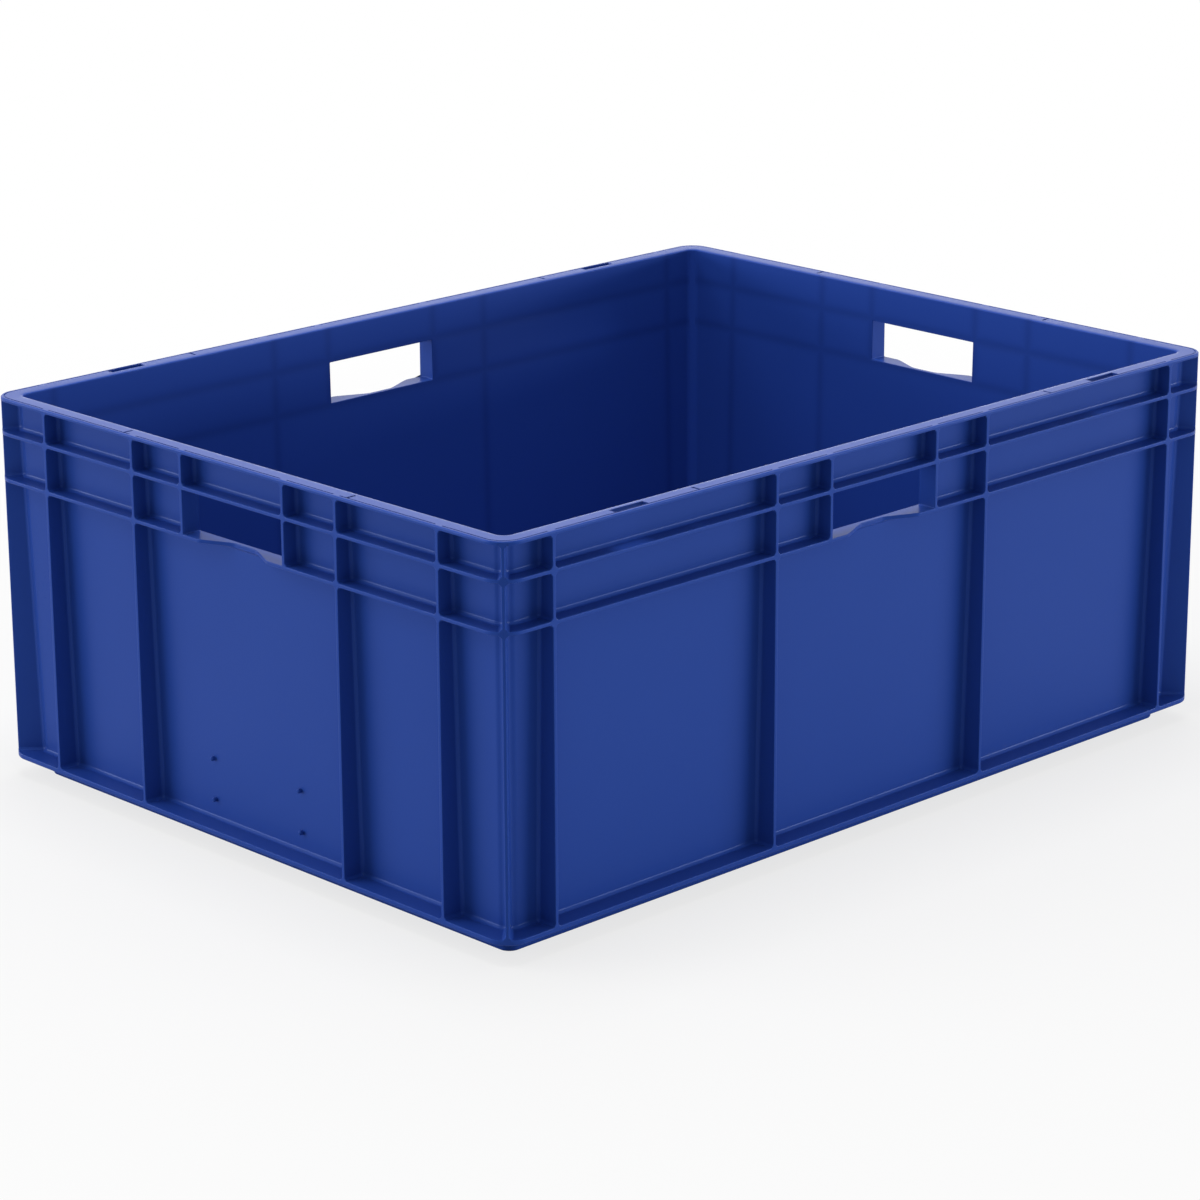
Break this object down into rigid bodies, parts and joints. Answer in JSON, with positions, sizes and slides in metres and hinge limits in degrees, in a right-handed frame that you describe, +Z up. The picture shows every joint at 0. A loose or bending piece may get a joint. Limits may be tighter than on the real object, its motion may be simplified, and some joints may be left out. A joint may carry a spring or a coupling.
{
  "type": "euro stacking container",
  "caption": "Open rectangular stacking container with thin drafted walls, a frame of ribs and bands outside, open hand grips, a flat rim, a base flange and an inset stacking foot.",
  "frame": {"origin": "middle of the footprint, on the surface that the stacking foot stands on", "axes": "+X along the long walls, +Y along the short walls, +Z up towards the open rim"},
  "size_m": [0.8, 0.6, 0.32],
  "materials": {
    "container_plastic": "moulded blue polypropylene, satin, fine even surface"
  },
  "bodies": {
    "root": {"container": "container_plastic"}
  },
  "joints": []
}
